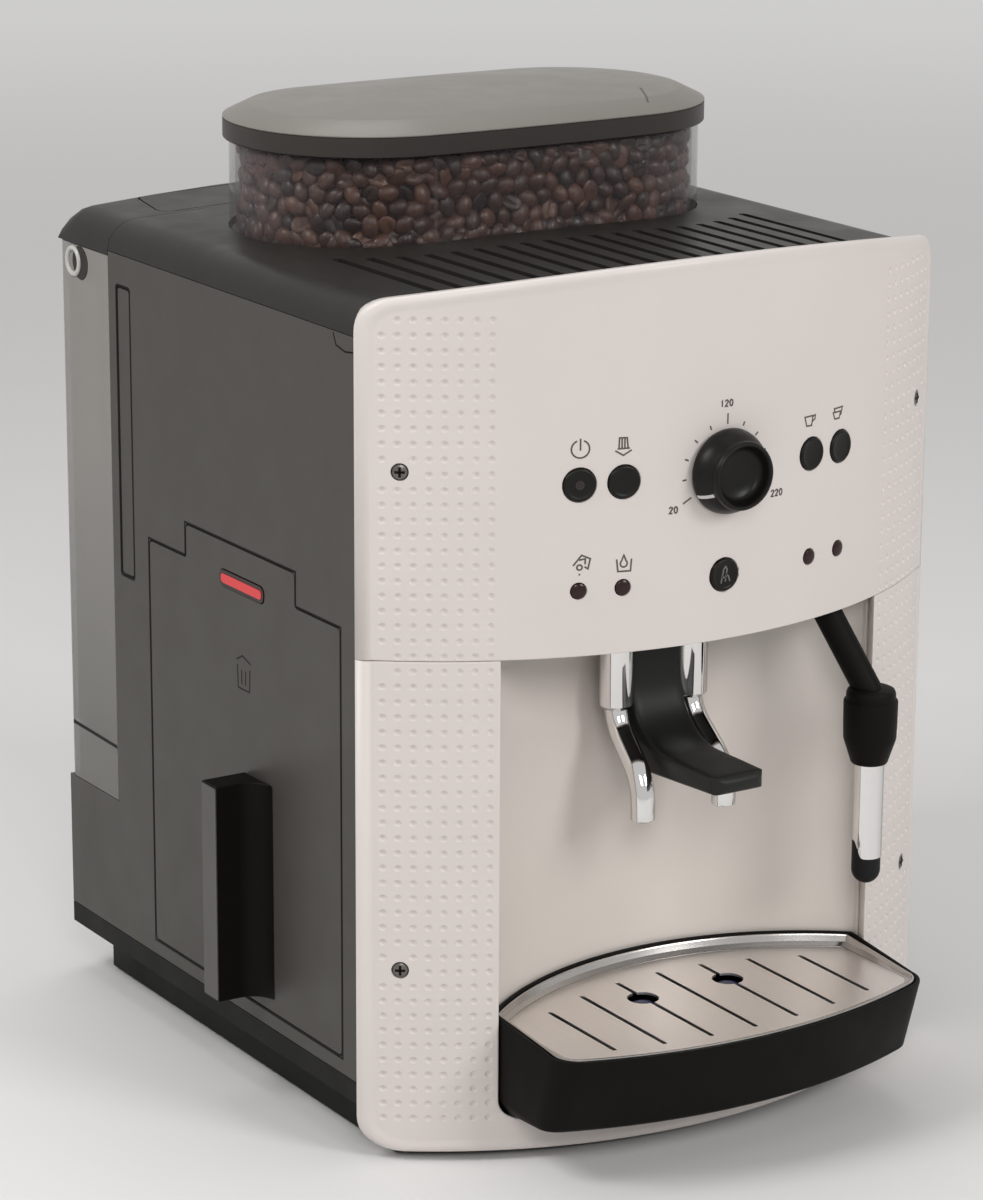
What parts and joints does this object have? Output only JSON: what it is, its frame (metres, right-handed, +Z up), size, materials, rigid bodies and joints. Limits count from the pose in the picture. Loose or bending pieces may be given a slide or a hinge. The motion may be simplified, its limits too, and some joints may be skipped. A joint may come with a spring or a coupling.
{
  "type": "bean to cup coffee machine",
  "caption": "Table-top coffee machine with bean hopper, bowed front, cup niche, height-adjustable outlet, steam wand, drip tray, side grounds drawer and rear water tank.",
  "frame": {"origin": "on the table, under the middle of the housing, level with the feet", "axes": "+X to the right as seen from the front, +Y to the back, +Z up"},
  "size_m": [0.2625, 0.318, 0.3577],
  "materials": {
    "base_black": "black, matt",
    "black_plastic": "black, satin",
    "blue_float": "dark blue, satin",
    "brushed_steel": "brushed",
    "chrome": "polished",
    "circuit_board": "green, satin",
    "clear_hopper": "clear, glossy",
    "dark_grey_shell": "dark warm grey, fine grain",
    "dark_red_lamp": "dark red, glossy",
    "grey_metal": "cast, satin",
    "niche_white": "warm white, glossy",
    "red_window": "red, glossy",
    "rubber": "black, matt",
    "silver_grey_lid": "silver grey, satin",
    "smoked_tank": "smoked, clear",
    "white_shell": "warm white, satin"
  },
  "bodies": {
    "machine": {"base": "base_black", "brew_housing": "black_plastic", "control_board": "circuit_board", "control_panel": "white_shell", "cord_inlet": "rubber", "foot_front_left": "rubber", "foot_front_right": "rubber", "foot_rear_left": "rubber", "foot_rear_right": "rubber", "grinder_housing": "grey_metal", "grinder_motor": "grey_metal", "heater": "grey_metal", "hopper": "clear_hopper", "inner_frame": "grey_metal", "lamp_inner_left": "dark_red_lamp", "lamp_inner_right": "dark_red_lamp", "lamp_outer_left": "dark_red_lamp", "lamp_outer_right": "dark_red_lamp", "left_panel": "dark_grey_shell", "lower_facade": "white_shell", "niche_wall": "niche_white", "outlet_guide": "black_plastic", "pump": "grey_metal", "rear_housing": "dark_grey_shell", "right_panel": "dark_grey_shell", "screw_lower_left": "grey_metal", "screw_lower_right": "grey_metal", "screw_upper_left": "grey_metal", "screw_upper_right": "grey_metal", "tank_valve": "black_plastic", "top_cover": "black_plastic"},
    "lid": {"hopper_lid": "silver_grey_lid"},
    "grind_dial": {"grind_dial": "black_plastic"},
    "grinder_rotor": {"grinder_burr": "brushed_steel"},
    "tank": {"tank": "smoked_tank", "tank_cap": "black_plastic"},
    "tank_flap": {"tank_flap": "black_plastic"},
    "drawer": {"drawer_front": "dark_grey_shell", "drawer_window": "red_window", "drawer_handle": "black_plastic", "grounds_bin": "black_plastic"},
    "tray": {"drip_tray": "black_plastic"},
    "tray_plate": {"tray_plate": "brushed_steel"},
    "float_left": {"float_left": "blue_float"},
    "float_right": {"float_right": "blue_float"},
    "outlet": {"outlet_body": "black_plastic", "coffee_tube_left": "chrome", "coffee_tube_right": "chrome"},
    "steam_wand": {"steam_arm": "black_plastic", "steam_grip": "black_plastic", "steam_tube": "chrome", "steam_tip": "rubber"},
    "volume_knob": {"volume_knob": "black_plastic"},
    "brew_piston": {"brew_piston": "grey_metal"},
    "power_button": {"power_button": "black_plastic"},
    "rinse_button": {"rinse_button": "black_plastic"},
    "one_cup_button": {"one_cup_button": "black_plastic"},
    "two_cup_button": {"two_cup_button": "black_plastic"},
    "steam_button": {"steam_button": "black_plastic"}
  },
  "joints": [
    {"name": "lid_lift", "type": "slide", "parent": "machine", "child": "lid", "axis": [0, 0, 1], "range_m": [0, 0.06]},
    {"name": "grind_adjust", "type": "hinge", "parent": "machine", "child": "grind_dial", "pos_m": [0, 0.0132, 0.272], "axis": [0, 0, 1], "range_deg": [-45, 45]},
    {"name": "grinder_turn", "type": "hinge", "parent": "machine", "child": "grinder_rotor", "pos_m": [0, 0.0132, 0.2503], "axis": [0, 0, 1], "continuous": true},
    {"name": "tank_lift", "type": "slide", "parent": "machine", "child": "tank", "axis": [0, 0, 1], "range_m": [0, 0.22]},
    {"name": "flap_turn", "type": "hinge", "parent": "tank", "child": "tank_flap", "pos_m": [0, 0.1075, 0.3115], "axis": [-1, 0, 0], "range_deg": [0, 100]},
    {"name": "drawer_pull", "type": "slide", "parent": "machine", "child": "drawer", "axis": [-1, 0, 0], "range_m": [0, 0.13]},
    {"name": "tray_pull", "type": "slide", "parent": "machine", "child": "tray", "axis": [0, -1, 0], "range_m": [0, 0.12]},
    {"name": "plate_lift", "type": "slide", "parent": "tray", "child": "tray_plate", "axis": [0, 0, 1], "range_m": [0, 0.03]},
    {"name": "float_left_rise", "type": "slide", "parent": "tray", "child": "float_left", "axis": [0, 0, 1], "range_m": [0, 0.006]},
    {"name": "float_right_rise", "type": "slide", "parent": "tray", "child": "float_right", "axis": [0, 0, 1], "range_m": [0, 0.006]},
    {"name": "outlet_slide", "type": "slide", "parent": "machine", "child": "outlet", "axis": [0, 0, 1], "range_m": [-0.012, 0.035]},
    {"name": "wand_swing", "type": "hinge", "parent": "machine", "child": "steam_wand", "pos_m": [0.0585, -0.1374, 0.18985], "axis": [0, 0, 1], "range_deg": [-60, 20]},
    {"name": "volume_turn", "type": "hinge", "parent": "machine", "child": "volume_knob", "pos_m": [0, -0.1575, 0.2461], "axis": [0, 1, 0], "range_deg": [0, 240]},
    {"name": "brew_press", "type": "slide", "parent": "machine", "child": "brew_piston", "axis": [0, 0, 1], "range_m": [-0.03, 0.03]},
    {"name": "power_button_press", "type": "slide", "parent": "machine", "child": "power_button", "axis": [0.2903, 0.9569, 0], "range_m": [0, 0.0012], "stiffness_N_per_m": 600},
    {"name": "rinse_button_press", "type": "slide", "parent": "machine", "child": "rinse_button", "axis": [0.2085, 0.978, 0], "range_m": [0, 0.0012], "stiffness_N_per_m": 600},
    {"name": "one_cup_button_press", "type": "slide", "parent": "machine", "child": "one_cup_button", "axis": [-0.2085, 0.978, 0], "range_m": [0, 0.0012], "stiffness_N_per_m": 600},
    {"name": "two_cup_button_press", "type": "slide", "parent": "machine", "child": "two_cup_button", "axis": [-0.2903, 0.9569, 0], "range_m": [0, 0.0012], "stiffness_N_per_m": 600},
    {"name": "steam_button_press", "type": "slide", "parent": "machine", "child": "steam_button", "axis": [0, 1, 0], "range_m": [0, 0.0012], "stiffness_N_per_m": 600}
  ]
}
